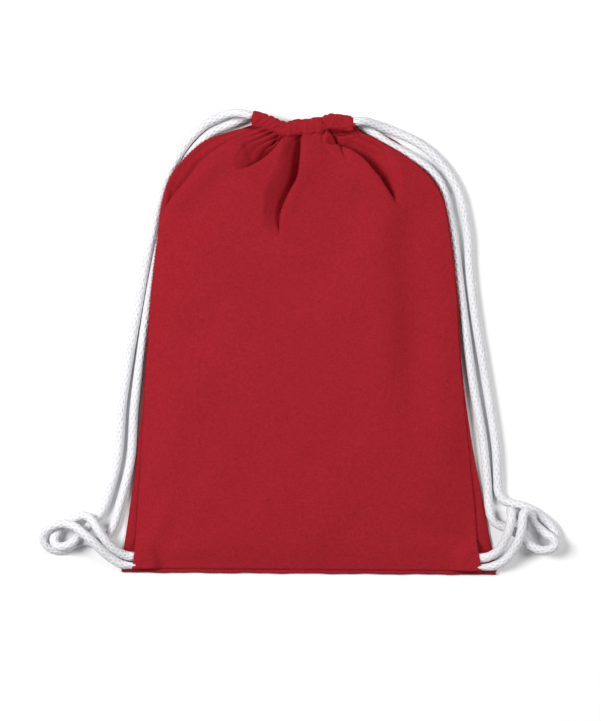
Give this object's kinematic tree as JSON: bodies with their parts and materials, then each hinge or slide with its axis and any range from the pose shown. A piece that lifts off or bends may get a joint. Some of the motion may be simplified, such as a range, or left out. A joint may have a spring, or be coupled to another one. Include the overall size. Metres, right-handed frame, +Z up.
{
  "type": "drawstring backpack",
  "caption": "Flat-lying cotton gym bag gathered at the neck by two round drawcords that run through casings and end in the bottom corners as shoulder straps.",
  "frame": {"origin": "middle of the bag's footprint, on the surface that the bag lies on", "axes": "+Z up out of the front panel, +Y from the bottom seam to the gathered neck, +X to the right seen from the front"},
  "size_m": [0.5202, 0.4644, 0.0284],
  "materials": {
    "cotton_red": "matte woven cotton",
    "thread_red": "matte sewing thread",
    "cord_white": "matte braided cotton"
  },
  "bodies": {
    "bag": {"front_panel": "cotton_red", "back_panel": "cotton_red", "front_casing": "cotton_red", "back_casing": "cotton_red", "side_seam_left": "cotton_red", "side_seam_right": "cotton_red", "bottom_seam": "cotton_red", "side_stitching_left": "thread_red", "side_stitching_right": "thread_red", "bottom_stitching": "thread_red", "front_casing_stitching": "thread_red", "back_casing_stitching": "thread_red", "drawcord_left_sewn_end_1": "cord_white", "drawcord_left_sewn_end_2": "cord_white", "drawcord_right_sewn_end_1": "cord_white", "drawcord_right_sewn_end_2": "cord_white"},
    "drawcord_left": {"drawcord_left_front_strand": "cord_white", "drawcord_left_back_strand": "cord_white", "drawcord_left_casing_loop": "cord_white"},
    "drawcord_right": {"drawcord_right_front_strand": "cord_white", "drawcord_right_back_strand": "cord_white", "drawcord_right_casing_loop": "cord_white"}
  },
  "joints": [
    {"name": "drawcord_left_pull", "type": "slide", "parent": "bag", "child": "drawcord_left", "axis": [-1, 0, 0], "range_m": [0, 0.01]},
    {"name": "drawcord_right_pull", "type": "slide", "parent": "bag", "child": "drawcord_right", "axis": [1, 0, 0], "range_m": [0, 0.01]}
  ]
}
